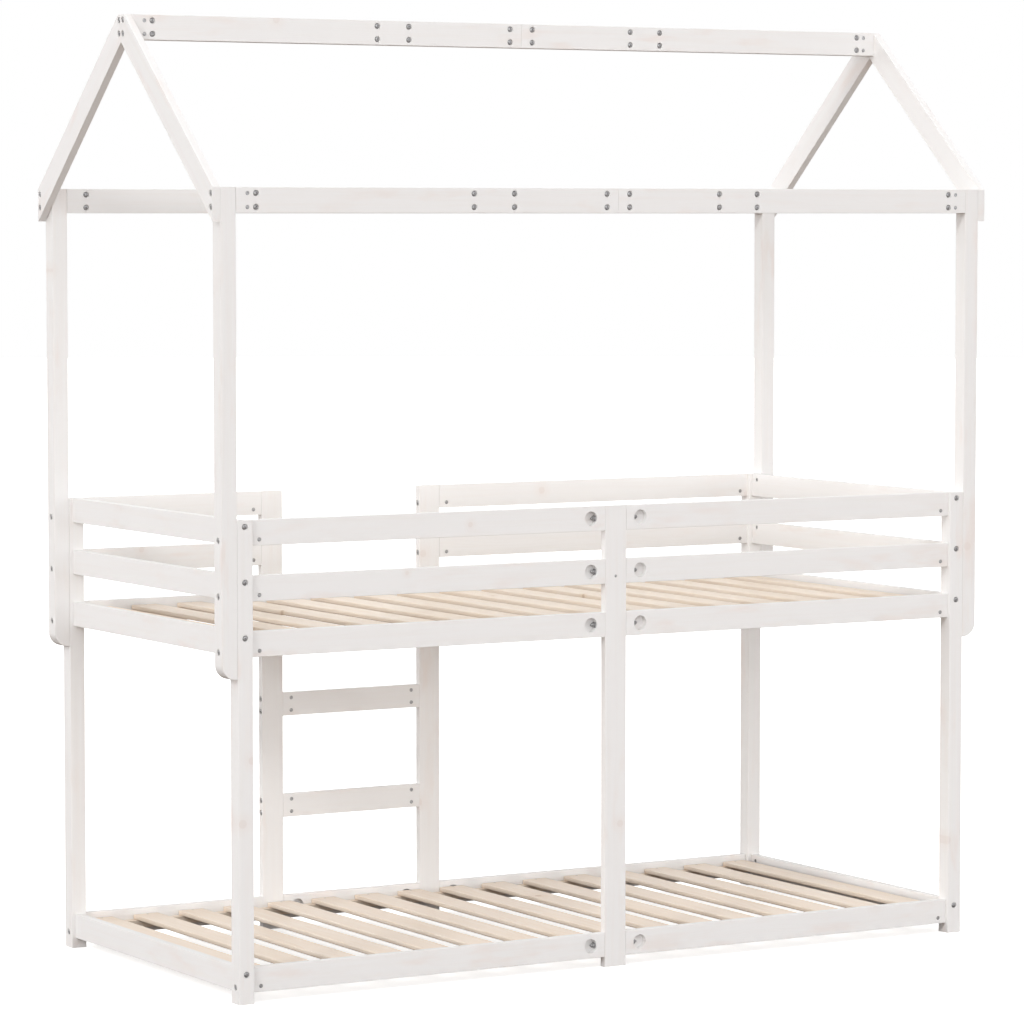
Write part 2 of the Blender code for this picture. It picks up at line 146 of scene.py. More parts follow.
class Graph:
    """Adds nodes to a tree. An input takes a socket or a plain value."""

    def __init__(self, tree):
        self.tree = tree

    def node(self, kind, inputs=None, **settings):
        made = self.tree.nodes.new(kind)
        for key, value in settings.items():
            setattr(made, key, value)
        for key, value in (inputs or {}).items():
            self.put(made.inputs[key], value)
        return made

    def put(self, socket, value):
        if isinstance(value, bpy.types.NodeSocket):
            self.tree.links.new(value, socket)
        else:
            socket.default_value = value

    def math(self, operation, first, second=0.0, third=0.0):
        return self.node("ShaderNodeMath", {0: first, 1: second, 2: third}, operation=operation).outputs[0]

    def total(self, first, *others):
        for other in others:
            first = self.math("ADD", first, other)
        return first

    def weighted(self, masks, weights):
        return self.total(*(self.math("MULTIPLY", masks[name], weight) for name, weight in weights.items()))

    def vector(self, operation, first, second):
        return self.node("ShaderNodeVectorMath", {0: first, 1: second}, operation=operation).outputs[0]

    def scaled(self, vector, factors):
        return self.vector("MULTIPLY", vector, factors)

    def ease(self, value, low, high, to_low=0.0, to_high=1.0):
        """A smooth step from to_low at low up to to_high at high."""
        values = {"Value": value, "From Min": low, "From Max": high, "To Min": to_low, "To Max": to_high}
        return self.node("ShaderNodeMapRange", values, interpolation_type="SMOOTHSTEP").outputs[0]

    def noise(self, vector, settings, output=0):
        """Noise by its settings: how many features to a metre each way, its detail and its roughness."""
        stretch, detail, rough = settings
        values = {"Vector": self.scaled(vector, stretch), "Scale": 1.0}
        values.update({"Detail": detail, "Roughness": rough})
        return self.node("ShaderNodeTexNoise", values).outputs[output]

    def tint(self, factor, base, over):
        made = self.node("ShaderNodeMix", data_type="RGBA")
        self.put(made.inputs[0], factor)
        self.put(made.inputs[6], base)
        self.put(made.inputs[7], over)
        return made.outputs[2]

    def split(self, vector):
        return self.node("ShaderNodeSeparateXYZ", {0: vector}).outputs

    def attribute(self, name, output):
        made = self.node("ShaderNodeAttribute", attribute_name=name, attribute_type="GEOMETRY")
        return made.outputs[output]


def rgb(red, green, blue):
    return (red, green, blue, 1.0)


def new_material(name):
    material = bpy.data.materials.new(name)
    material.use_nodes = True
    return material, Graph(material.node_tree), material.node_tree.nodes["Principled BSDF"]


FLOOR_RADIUS = 45.0
FLOOR_SIDES = 96
FLOOR_COLOUR = rgb(0.93, 0.93, 0.925)
FLOOR_FLECK = rgb(0.90, 0.90, 0.895)
FLOOR_GRAIN = ((60.0, 60.0, 60.0), 4.0, 0.50)
FLOOR_ROUGHNESS = (0.2, 0.8, 0.85, 0.95)
FLOOR_SPECULAR = 0.1
FLOOR_LIFT = 0.70
FLOOR_BOUNCE = rgb(0.20, 0.152, 0.125)


def floor_material():
    """Matt studio paper, very faintly flecked. It looks bright, but throws back only a dim warm light."""
    material, graph, shader = new_material("studio_floor")
    here = graph.node("ShaderNodeTexCoord").outputs["Object"]
    fleck = graph.noise(here, FLOOR_GRAIN)
    seen = graph.node("ShaderNodeLightPath").outputs["Is Camera Ray"]
    paper = graph.tint(fleck, FLOOR_COLOUR, FLOOR_FLECK)
    graph.put(shader.inputs["Base Color"], graph.tint(seen, FLOOR_BOUNCE, paper))
    graph.put(shader.inputs["Roughness"], graph.ease(fleck, *FLOOR_ROUGHNESS))
    shader.inputs["Specular IOR Level"].default_value = FLOOR_SPECULAR
    shader.inputs["Emission Color"].default_value = FLOOR_COLOUR
    graph.put(shader.inputs["Emission Strength"], graph.math("MULTIPLY", seen, FLOOR_LIFT))
    return material


def add_floor():
    form = bmesh.new()
    bmesh.ops.create_circle(form, cap_ends=True, segments=FLOOR_SIDES, radius=FLOOR_RADIUS)
    mesh = bpy.data.meshes.new("floor")
    form.to_mesh(mesh)
    form.free()
    mesh.materials.append(floor_material())
    floor = bpy.data.objects.new("floor", mesh)
    bpy.context.scene.collection.objects.link(floor)


BACKDROP = rgb(1.0, 1.0, 1.0)
SKY_TOP = rgb(0.81, 0.81, 0.815)
SKY_LOW = rgb(3.10, 3.10, 3.14)
SKY_BAND = 0.35
HORIZON = 0.01


def add_world():
    """Plain white to the camera. To the object: bright walls, a softer ceiling and a dim warm ground."""
    bpy.context.scene.view_settings.view_transform = "Standard"
    world = bpy.data.worlds.new("studio")
    bpy.context.scene.world = world
    world.use_nodes = True
    graph = Graph(world.node_tree)
    background = world.node_tree.nodes["Background"]
    up = graph.split(graph.node("ShaderNodeTexCoord").outputs["Generated"])[2]
    sky = graph.tint(graph.ease(up, 0.0, SKY_BAND), SKY_LOW, SKY_TOP)
    light = graph.tint(graph.ease(up, -HORIZON, 0.0), FLOOR_BOUNCE, sky)
    seen = graph.node("ShaderNodeLightPath").outputs["Is Camera Ray"]
    graph.put(background.inputs["Color"], graph.tint(seen, light, BACKDROP))


# Lights: the way each comes from, its strength and the angle that it fills in degrees
LIGHTS = {
    "key": ((-0.76, -0.38, 0.52), 0.84, 12),
    "front_fill": ((-0.42, -0.90, 0.10), 0.54, 40),
    "back_fill": ((0.42, 0.90, 0.10), 0.50, 40),
}


def add_lights():
    """A soft key from the left, half-way up, and two low wide fills that leave no glint."""
    for name, (way, strength, spread) in LIGHTS.items():
        data = bpy.data.lights.new(name, "SUN")
        data.energy = strength
        data.angle = math.radians(spread)
        light = bpy.data.objects.new(name, data)
        light.visible_glossy = not name.endswith("fill")
        light.rotation_euler = Vector(way).to_track_quat("Z", "Y").to_euler()
        bpy.context.scene.collection.objects.link(light)


# ---------------------------------------------------------------- materials

# Growth rings: their spacing, and the slow rise and quick fall of each dark line as shares of it
RING_SPACING = 0.0034
RING_RISE = (0.35, 0.90)
RING_FALL = (1.00, 0.92)

# Each board's place in its log: its shift along the pattern, and how its pith lies aside, tilts and bends
DRAW_SPREAD = 977.0
BOARD_SHIFT = (9.0, 5.0, 7.0)
PITH_ASIDE = 0.07
PITH_ABOVE = 0.11
PITH_MIDDLE = 0.75
PITH_TILT = 0.05
PITH_BEND = 0.055

# Knots: cells to a metre, their scatter, and sizes as shares of a cell
KNOT_CELLS = 6.2
KNOT_SCATTER = 0.9
KNOT_SMALLEST = 0.035
KNOT_GROWTH = 0.045
KNOT_RIM = 0.72
HALO_OUTSIDE = 3.4
HALO_INSIDE = 0.5
HALO_BEND = 0.011

# Noises: features to a metre along, through and across the board, then detail and roughness
BEND = ((1.3, 5.0, 5.0), 2.0, 0.50)
FIBRE = ((16.0, 700.0, 700.0), 3.0, 0.60)
STREAK = ((3.0, 95.0, 95.0), 3.0, 0.55)
BROAD = ((1.6, 9.0, 9.0), 2.0, 0.50)
PATCH = ((6.5, 24.0, 24.0), 3.0, 0.50)
SPECK = ((900.0, 900.0, 900.0), 2.0, 0.50)
PATCH_SHIFT = (3.1, 8.3, 1.7)


def knots(graph, moved, chance):
    """Masks of the knots, which run through a board's thickness, and of the disturbed grain round them."""
    flat = graph.node("ShaderNodeCombineXYZ", {0: moved[0], 1: moved[2]}).outputs[0]
    values = {"Vector": flat, "Scale": KNOT_CELLS, "Randomness": KNOT_SCATTER}
    cells = graph.node("ShaderNodeTexVoronoi", values, voronoi_dimensions="2D")
    far = cells.outputs["Distance"]
    cell = graph.split(cells.outputs["Color"])
    present = graph.math("GREATER_THAN", cell[0], 1.0 - chance)
    size = graph.math("MULTIPLY_ADD", cell[1], KNOT_GROWTH, KNOT_SMALLEST)
    core = graph.ease(far, size, graph.math("MULTIPLY", size, KNOT_RIM))
    outside = graph.math("MULTIPLY", size, HALO_OUTSIDE)
    halo = graph.ease(far, outside, graph.math("MULTIPLY", size, HALO_INSIDE))
    return graph.math("MULTIPLY", present, core), graph.math("MULTIPLY", present, halo)


def rings(graph, local, drawn, moved, halo):
    """A mask of the dark growth lines round a pith that lies beside the board and bends round its knots."""
    bend = graph.split(graph.noise(moved, BEND, "Color"))
    tilt = graph.math("MULTIPLY", local[0], graph.math("MULTIPLY_ADD", drawn[2], PITH_TILT, -PITH_TILT / 2))
    y = graph.total(local[1], tilt, graph.math("MULTIPLY", bend[0], PITH_BEND),
                    graph.math("MULTIPLY", drawn[0], PITH_ASIDE))
    above = graph.math("SUBTRACT", drawn[1], PITH_MIDDLE)
    z = graph.total(local[2], graph.math("MULTIPLY", bend[1], PITH_BEND),
                    graph.math("MULTIPLY", above, PITH_ABOVE))
    squared = graph.math("ADD", graph.math("MULTIPLY", y, y), graph.math("MULTIPLY", z, z))
    radius = graph.math("ADD", graph.math("SQRT", squared), graph.math("MULTIPLY", halo, HALO_BEND))
    turn = graph.math("FRACT", graph.math("DIVIDE", radius, RING_SPACING))
    return graph.math("MULTIPLY", graph.ease(turn, *RING_RISE), graph.ease(turn, *RING_FALL))


def pine(graph, knot_chance):
    """Masks of solid pine with its grain along the board, drawn apart for each board."""
    here = graph.attribute("grain", "Vector")
    local = graph.split(here)
    chance = graph.node("ShaderNodeObjectInfo").outputs["Random"]
    spread = {"W": graph.math("MULTIPLY", chance, DRAW_SPREAD)}
    draw = graph.node("ShaderNodeTexWhiteNoise", spread, noise_dimensions="1D").outputs["Color"]
    moved = graph.vector("ADD", here, graph.scaled(draw, BOARD_SHIFT))
    knot, halo = knots(graph, graph.split(moved), knot_chance)
    return {
        "ring": rings(graph, local, graph.split(draw), moved, halo),
        "knot": knot,
        "halo": halo,
        "fibre": graph.noise(moved, FIBRE),
        "streak": graph.noise(moved, STREAK),
        "broad": graph.noise(moved, BROAD),
        "patch": graph.noise(graph.vector("ADD", moved, PATCH_SHIFT), PATCH),
        "speck": graph.noise(here, SPECK),
        "edge": graph.attribute("edge", "Fac"),
        "depth": local[1],
    }


def coated(graph, masks, base, coats):
    """A base colour under coats. A coat is a colour and its masks, each with a strength or a smooth step."""
    colour = base
    for over, limits in coats:
        strength = 1.0
        for name, limit in limits.items():
            if isinstance(limit, tuple):
                part = graph.ease(masks[name], *limit)
            else:
                part = graph.math("MULTIPLY", masks[name], limit)
            strength = graph.math("MULTIPLY", strength, part)
        colour = graph.tint(strength, colour, over)
    return colour


def relief(graph, shader, masks, weights, distance):
    """Bump from a weighted sum of masks, distance metres high."""
    bump = graph.node("ShaderNodeBump", {"Height": graph.weighted(masks, weights), "Strength": 1.0,
                                         "Distance": distance})
    graph.put(shader.inputs["Normal"], bump.outputs[0])


PAINT = rgb(0.825, 0.817, 0.808)
PAINT_THIN = rgb(0.805, 0.778, 0.755)
PAINT_PATCH = rgb(0.80, 0.728, 0.688)
PAINT_KNOT = rgb(0.70, 0.61, 0.56)
PAINT_EDGE = rgb(0.77, 0.72, 0.68)
PAINT_KNOT_CHANCE = 0.16
PAINT_COATS = (
    (PAINT_THIN, {"streak": (0.42, 0.72, 0.0, 0.40)}),
    (PAINT_PATCH, {"patch": (0.52, 0.74), "broad": (0.38, 0.60, 0.12, 0.62)}),
    (PAINT_THIN, {"ring": 0.06}),
    (PAINT_PATCH, {"halo": 0.34}),
    (PAINT_KNOT, {"knot": 0.26}),
    (PAINT_EDGE, {"edge": 1.0, "patch": (0.38, 0.62, 0.06, 0.42)}),
)
PAINT_ROUGHNESS = (0.3, 0.7, 0.46, 0.58)
PAINT_ROUGHER = {"speck": 0.08, "edge": -0.06}
PAINT_SPECULAR = 0.20
PAINT_RELIEF = {"ring": 0.20, "fibre": 0.4, "speck": 0.35, "knot": 0.6}
PAINT_RELIEF_HIGH = 0.00022


def painted_pine():
    """White paint on pine, thin enough for rings, knots and patches to tint it, thinnest on the edges."""
    material, graph, shader = new_material("white_paint_on_pine")
    wood = pine(graph, PAINT_KNOT_CHANCE)
    graph.put(shader.inputs["Base Color"], coated(graph, wood, PAINT, PAINT_COATS))
    broad = graph.ease(wood["broad"], *PAINT_ROUGHNESS)
    roughness = graph.total(broad, graph.weighted(wood, PAINT_ROUGHER))
    graph.put(shader.inputs["Roughness"], roughness)
    shader.inputs["Specular IOR Level"].default_value = PAINT_SPECULAR
    relief(graph, shader, wood, PAINT_RELIEF, PAINT_RELIEF_HIGH)
    return material


EARLY_WOOD = rgb(0.868, 0.770, 0.664)
LATE_WOOD = rgb(0.77, 0.585, 0.415)
STREAK_WOOD = rgb(0.83, 0.685, 0.535)
KNOT_WOOD = rgb(0.52, 0.34, 0.21)
KNOT_RING = rgb(0.40, 0.24, 0.14)
# Painted shade: a dark brown laid on the rounded lower edges of slats and ledgers, standing in for the dim
# light from below
PAINTED_SHADE_UNDER_EDGE = rgb(0.30, 0.20, 0.135)
WOOD_KNOT_CHANCE = 0.02
WOOD_COATS = (
    (LATE_WOOD, {"ring": 0.34}),
    (STREAK_WOOD, {"streak": (0.40, 0.75, 0.0, 0.50)}),
    (LATE_WOOD, {"fibre": (0.45, 0.80, 0.0, 0.28)}),
    (STREAK_WOOD, {"broad": (0.35, 0.75, 0.0, 0.30)}),
    (LATE_WOOD, {"halo": 0.38}),
)
KNOT_CORE = (0.35, 0.65)
KNOT_SHOWS = {"knot": 0.45}
# Edge coats: a late-wood tone along the rounded edges for wear, then painted shade darkening the lower edges
# towards the bottom
WOOD_EDGE_WEAR_AND_SHADE_COATS = (
    (LATE_WOOD, {"edge": 1.0, "patch": (0.35, 0.65, 0.10, 0.40)}),
    (PAINTED_SHADE_UNDER_EDGE, {"edge": 1.0, "depth": (-0.001, -0.0045, 0.0, 0.90)}),
)
WOOD_ROUGHNESS = (0.3, 0.7, 0.50, 0.64)
WOOD_ROUGHER = {"ring": -0.08}
WOOD_SPECULAR = 0.52
WOOD_RELIEF = {"ring": 0.6, "fibre": 0.9, "knot": -0.4}
WOOD_RELIEF_HIGH = 0.00025


def bare_pine():
    """Planed pine without a finish: cream wood, tan ring lines, small brown knots, and painted shade on its
    lower edges.
    """
    material, graph, shader = new_material("planed_pine")
    wood = pine(graph, WOOD_KNOT_CHANCE)
    core = graph.tint(graph.ease(wood["streak"], *KNOT_CORE), KNOT_WOOD, KNOT_RING)
    coats = (*WOOD_COATS, (core, KNOT_SHOWS), *WOOD_EDGE_WEAR_AND_SHADE_COATS)
    graph.put(shader.inputs["Base Color"], coated(graph, wood, EARLY_WOOD, coats))
    roughness = graph.total(graph.ease(wood["fibre"], *WOOD_ROUGHNESS), graph.weighted(wood, WOOD_ROUGHER))
    graph.put(shader.inputs["Roughness"], roughness)
    shader.inputs["Specular IOR Level"].default_value = WOOD_SPECULAR
    relief(graph, shader, wood, WOOD_RELIEF, WOOD_RELIEF_HIGH)
    return material


STEEL = rgb(0.47, 0.47, 0.475)
STEEL_DULL = rgb(0.30, 0.30, 0.305)
STEEL_CLOUD = ((260.0, 260.0, 260.0), 3.0, 0.50)
STEEL_GRAIN = ((2600.0, 2600.0, 2600.0), 2.0, 0.50)
STEEL_COATS = ((STEEL_DULL, {"cloud": (0.40, 0.72)}),)
STEEL_ROUGHNESS = (0.3, 0.7, 0.30, 0.48)
STEEL_RELIEF = {"cloud": 1.0, "grain": 0.4}
STEEL_RELIEF_HIGH = 0.00006


def zinc_steel():
    """Zinc-plated steel: a cloudy grey with small dull spots and a fine grain."""
    material, graph, shader = new_material("zinc_steel")
    here = graph.node("ShaderNodeTexCoord").outputs["Object"]
    masks = {"cloud": graph.noise(here, STEEL_CLOUD), "grain": graph.noise(here, STEEL_GRAIN)}
    graph.put(shader.inputs["Base Color"], coated(graph, masks, STEEL, STEEL_COATS))
    shader.inputs["Metallic"].default_value = 1.0
    graph.put(shader.inputs["Roughness"], graph.ease(masks["cloud"], *STEEL_ROUGHNESS))
    relief(graph, shader, masks, STEEL_RELIEF, STEEL_RELIEF_HIGH)
    return material


# ---------------------------------------------------------------- mesh helpers

def turned(form, levels, place, steps):
    """A closed turned solid. levels are (radius, height) from the bottom up; a radius may be a shape."""
    rings = []
    for radius, height in levels:
        ring = []
        for step in range(steps):
            angle = 2 * math.pi * step / steps
            reach = radius(angle) if callable(radius) else radius
            point = Vector((reach * math.cos(angle), reach * math.sin(angle), height))
            ring.append(form.verts.new(place @ point))
        rings.append(ring)
    for lower, upper in zip(rings, rings[1:]):
        for step in range(steps):
            after = (step + 1) % steps
            form.faces.new((lower[step], lower[after], upper[after], upper[step]))
    form.faces.new(list(reversed(rings[0])))
    form.faces.new(rings[-1])


def looking_out(point, inward):
    """The place at a point on a face, with local Z along the way out of the wood."""
    out = -Vector(inward)
    return Matrix.Translation(Vector(point)) @ out.to_track_quat("Z", "Y").to_matrix().to_4x4()


# A shape gives the radius at each angle round the axis

def hexagon(apothem):
    sixth = math.pi / 3
    return lambda angle: apothem / math.cos(angle % sixth - sixth / 2)


def slot_shape(half_wide, half_long):
    return lambda angle: min(half_long, half_wide / max(abs(math.sin(angle)), TINY))


def cross_shape(half_wide, half_long):
    bar = slot_shape(half_wide, half_long)
    return lambda angle: max(bar(angle), bar(angle + math.pi / 2))


def mouth(radius):
    """The top of a sink: its wall and a slightly opened rim, carried on past the face."""
    return [(radius, -MOUTH), (radius + MOUTH + PAST, PAST)]


# The tools that cut the sinks, as turned solids with the face at height 0
SINKS = {
    "head": [(HEAD_SINK_R, -HEAD_SINK_DEEP), *mouth(HEAD_SINK_R)],
    "barrel": [(BARREL_SINK_R, -BARREL_SINK_DEEP), *mouth(BARREL_SINK_R)],
    "pocket": [(POCKET_R - MOUTH, -POCKET_DEEP), (POCKET_R, -POCKET_DEEP + MOUTH), *mouth(POCKET_R)],
    "screw": [(SCREW_TIP_R, -SCREW_SINK_DEEP), (SCREW_SINK_R, -SCREW_SINK_RIM),
              (SCREW_SINK_R + PAST + SCREW_SINK_RIM, PAST)],
}
SINK_STEPS = {"head": 40, "barrel": 32, "pocket": 64, "screw": 24}


def sink(kind, point, inward):
    return kind, Vector(point), Vector(inward)


def axes(along, thick):
    """The turn that takes local X along the grain, Y through the thickness and Z across the width."""
    along = Vector(along).normalized()
    thick = Vector(thick).normalized()
    return Matrix((along, thick, along.cross(thick))).transposed()


def is_end(face):
    """Whether a face is one of a board's sawn ends."""
    return abs(face.normal.x) > END_FACING and face.calc_area() > END_FACE_AREA


def round_edges(form, at_ends, offset, steps):
    """Rounds the sharp edges of the sawn ends, or else all the others, and gives the new faces."""
    sharp = [side for side in form.edges if side.calc_face_angle() > SHARP]
    chosen = [side for side in sharp if any(is_end(face) for face in side.link_faces) == at_ends]
    made = bmesh.ops.bevel(form, geom=chosen, offset=offset, segments=steps, profile=0.5, affect="EDGES",
                           clamp_overlap=True)
    return made["faces"]


def slab(form, outline, half_thick, edge):
    """An outline in the local XZ plane made solid along Y, its edges rounded and the rounding marked."""
    face = form.faces.new([form.verts.new((x, -half_thick, z)) for x, z in outline])
    grown = bmesh.ops.extrude_face_region(form, geom=[face])
    moved = [item for item in grown["geom"] if isinstance(item, bmesh.types.BMVert)]
    bmesh.ops.translate(form, vec=(0, 2 * half_thick, 0), verts=moved)
    bmesh.ops.recalc_face_normals(form, faces=form.faces)
    mark = form.verts.layers.float.new("edge")
    for at_ends, offset, steps in ((False, edge, ROUND_STEPS), (True, END_ROUND, END_STEPS)):
        bevelled = set(round_edges(form, at_ends, offset, steps))
        for vert in form.verts:
            if all(side in bevelled for side in vert.link_faces):
                vert[mark] = 1.0


def drilled(mesh, sinks, to_local):
    """The mesh with its sinks cut, as a new mesh."""
    form = bmesh.new()
    for kind, point, inward in sinks:
        turned(form, SINKS[kind], to_local @ looking_out(point, inward), SINK_STEPS[kind])
    bmesh.ops.recalc_face_normals(form, faces=form.faces)
    tool_mesh = bpy.data.meshes.new("drill")
    form.to_mesh(tool_mesh)
    form.free()
    tool = bpy.data.objects.new("drill", tool_mesh)
    work = bpy.data.objects.new("work", mesh)
    for obj in (tool, work):
        bpy.context.scene.collection.objects.link(obj)
    cut = work.modifiers.new("drill", "BOOLEAN")
    cut.operation = "DIFFERENCE"
    cut.solver = "EXACT"
    cut.object = tool
    bpy.context.view_layer.update()
    result = bpy.data.meshes.new_from_object(work.evaluated_get(bpy.context.evaluated_depsgraph_get()))
    bpy.data.objects.remove(work)
    bpy.data.objects.remove(tool)
    return result


def finish_mesh(mesh, material):
    mesh.shade_smooth()
    mesh.set_sharp_from_angle(angle=SHARP)
    mesh.materials.clear()
    mesh.materials.append(material)


def mark_grain(mesh):
    """Keeps each point's place in the board's own frame, so that the grain follows the board."""
    points = [0.0] * (3 * len(mesh.vertices))
    mesh.vertices.foreach_get("co", points)
    mesh.attributes.new("grain", "FLOAT_VECTOR", "POINT").data.foreach_set("vector", points)


def add_piece(name, mesh, location):
    obj = bpy.data.objects.new(name, mesh)
    bpy.context.scene.collection.objects.link(obj)
    obj.location = location
    normals = obj.modifiers.new("even_shading", "WEIGHTED_NORMAL")
    normals.keep_sharp = True
    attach(obj, "root")
    return obj


def timber(name, node, along, thick, outline, centre, half_thick, sinks, look):
    """One board. outline holds world points round its flat side, and sinks are in world places too."""
    turn = axes(along, thick).to_4x4()
    to_local = (Matrix.Translation(centre) @ turn).inverted()
    local = [to_local @ Vector(point) for point in outline]
    material, edge = look
    form = bmesh.new()
    slab(form, [(point.x, point.z) for point in local], half_thick, edge)
    mesh = bpy.data.meshes.new(name)
    form.to_mesh(mesh)
    form.free()
    if sinks:
        mesh = drilled(mesh, sinks, to_local)
        mesh.name = name
    finish_mesh(mesh, material)
    mark_grain(mesh)
    mesh.transform(turn)
    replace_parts(add_piece(name, mesh, centre), node)
    add_fittings(name, node, sinks)


def straight(name, node, low, high, along, thick, sinks, look):
    """A straight board that fills a box."""
    low = Vector(low)
    high = Vector(high)
    along = Vector(along)
    thick = Vector(thick)
    wide = along.cross(thick)
    centre = (low + high) / 2
    half = (high - low) / 2
    length = along * abs(half.dot(along))
    width = wide * abs(half.dot(wide))
    outline = [centre - length - width, centre + length - width,
               centre + length + width, centre - length + width]
    timber(name, node, along, thick, outline, centre, abs(half.dot(thick)), sinks, look)


# ---------------------------------------------------------------- steel fittings

BOLT_R = 0.0065
BOLT_TOP = -0.0006
BOLT_DOME = 0.0021
BOLT_DOME_TURNS = (0, 16, 32, 48, 62)
BOLT_SKIRT = 0.0008
BOLT_STEPS = 36
KEY = 0.0022
KEY_BEVEL = 0.0002
KEY_BEVEL_DEEP = 0.0003
KEY_DEEP = 0.0020

NUT_R = 0.0048
NUT_TOP = -0.0006
NUT_DEEP = 0.0032
NUT_BEVEL = 0.0005
NUT_SLOT = (0.0008, 0.0036)
NUT_SLOT_DEEP = 0.0014

SCREW_R = 0.0034
SCREW_TOP = -0.0002
SCREW_BEVEL = 0.0002
SCREW_FOOT = -0.0028
SCREW_CROSS = (0.0005, 0.0019)
SCREW_CROSS_FLOOR = -0.0012
SLOTTED_STEPS = 48

WASHER_CLEAR = 0.0001
WASHER_TURNS = range(-24, 25, 6)
WASHER_THICK = 0.0022
WASHER_HALF_HIGH = 0.0058
HEX_NUT = 0.0050
HEX_NUT_LEVELS = (-0.0002, 0.0003, 0.0046, 0.0050)
HEX_NUT_BEVELS = (0.0003, 0.0002)
STUD_R = 0.0030
STUD_FROM = 0.0045
STUD_CREST = 0.0052
STUD_ROOT = 0.0057
STUD_THREAD = 0.0010
STUD_THREAD_DEEP = 0.0004
STUD_THREADS = 4
STUD_END = 0.0094
STUD_END_BEVEL = 0.0009
STUD_STEPS = 24


def bolt_head(form, place):
    """A low domed head with a hexagon socket, just under the face."""
    levels = [(BOLT_R, BOLT_TOP - BOLT_DOME - BOLT_SKIRT)]
    for degrees in BOLT_DOME_TURNS:
        turn = math.radians(degrees)
        levels.append((BOLT_R * math.cos(turn), BOLT_TOP - BOLT_DOME * (1 - math.sin(turn))))
    top = levels[-1][1]
    levels += [(hexagon(KEY + KEY_BEVEL), top), (hexagon(KEY), top - KEY_BEVEL_DEEP),
               (hexagon(KEY), top - KEY_DEEP)]
    turned(form, levels, place, BOLT_STEPS)


def barrel_nut(form, place):
    """The end of a cross dowel, with a screwdriver slot."""
    slot = slot_shape(*NUT_SLOT)
    levels = [(NUT_R, NUT_TOP - NUT_DEEP), (NUT_R, NUT_TOP - NUT_BEVEL), (NUT_R - NUT_BEVEL, NUT_TOP),
              (slot, NUT_TOP), (slot, NUT_TOP - NUT_SLOT_DEEP)]
    turned(form, levels, place, SLOTTED_STEPS)


def wood_screw(form, place):
    """A countersunk head with a cross recess."""
    cross = cross_shape(*SCREW_CROSS)
    levels = [(SCREW_TIP_R, SCREW_FOOT), (SCREW_R, SCREW_TOP - SCREW_BEVEL),
              (SCREW_R - SCREW_BEVEL, SCREW_TOP), (cross, SCREW_TOP), (cross, SCREW_CROSS_FLOOR)]
    turned(form, levels, place, SLOTTED_STEPS)


def pocket_nut(form, place):
    """In a pocket, along local X: a half-moon washer on its wall, a hexagon nut and the stud's end."""
    deep = -BOARD_THICK / 2
    wall = POCKET_R - WASHER_CLEAR
    arc = [math.radians(turn) for turn in WASHER_TURNS]
    inner = wall * math.cos(arc[-1]) - WASHER_THICK
    outline = [(wall * math.cos(turn), wall * math.sin(turn)) for turn in arc]
    outline += [(inner, outline[-1][1]), (inner, outline[0][1])]
    bottom = [form.verts.new(place @ Vector((x, y, deep - WASHER_HALF_HIGH))) for x, y in outline]
    top = [form.verts.new(place @ Vector((x, y, deep + WASHER_HALF_HIGH))) for x, y in outline]
    count = len(outline)
    for step in range(count):
        after = (step + 1) % count
        form.faces.new((bottom[step], bottom[after], top[after], top[step]))
    form.faces.new(list(reversed(bottom)))
    form.faces.new(top)
    inwards = place @ Matrix.Translation((inner, 0, deep)) @ Matrix.Rotation(-math.pi / 2, 4, "Y")
    radii = (HEX_NUT - HEX_NUT_BEVELS[0], hexagon(HEX_NUT), hexagon(HEX_NUT), HEX_NUT - HEX_NUT_BEVELS[1])
    turned(form, list(zip(radii, HEX_NUT_LEVELS)), inwards, BOLT_STEPS)
    thread = [(STUD_R, STUD_FROM)]
    for step in range(STUD_THREADS):
        thread += [(STUD_R, STUD_CREST + step * STUD_THREAD),
                   (STUD_R - STUD_THREAD_DEEP, STUD_ROOT + step * STUD_THREAD)]
    turned(form, thread + [(STUD_R - STUD_END_BEVEL, STUD_END)], inwards, STUD_STEPS)


FITTINGS = {"head": ("bolt_heads", bolt_head), "barrel": ("barrel_nuts", barrel_nut),
            "screw": ("screws", wood_screw), "pocket": ("pocket_nuts", pocket_nut)}


def add_fittings(name, node, sinks):
    """One steel piece for each kind of fitting in a board."""
    for kind, (label, make) in FITTINGS.items():
        mine = [item for item in sinks if item[0] == kind]
        if not mine:
            continue
        form = bmesh.new()
        home = mine[0][1]
        for _, point, inward in mine:
            place = looking_out(point - home, inward)
            if kind == "pocket":
                place = pocket_place(point - home, inward, towards_of(node, point))
            make(form, place)
        mesh = bpy.data.meshes.new(label)
        form.to_mesh(mesh)
        form.free()
        finish_mesh(mesh, ZINC_STEEL)
        add_piece(f"{label}_{name}", mesh, home)


def towards_of(node, point):
    """The way along X from a pocket to the nearer end of its rail."""
    low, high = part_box(node)
    return X_AXIS if high.x - point.x < point.x - low.x else -X_AXIS


def pocket_place(point, inward, towards):
    """The place at a pocket's mouth, with local X towards the rail's end and local Z out of the wood."""
    out = -inward
    turn = Matrix((towards, out.cross(towards), out)).transposed()
    return Matrix.Translation(point) @ turn.to_4x4()


# ---------------------------------------------------------------- painted boards

def painted(node, along, thick, sinks=(), edge=BOARD_ROUND):
    """The painted board that stands for a CAD node of the same box."""
    low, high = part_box(node)
    straight(f"painted_{node}", node, low, high, along, thick, sinks, (PAINTED_PINE, edge))


def painted_outline(node, along, thick, outline, sinks, edge):
    """The painted board that stands for a CAD node with an outline of its own."""
    low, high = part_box(node)
    half_thick = abs((high - low).dot(Vector(thick))) / 2
    timber(f"painted_{node}", node, along, thick, outline, (low + high) / 2, half_thick, sinks,
           (PAINTED_PINE, edge))


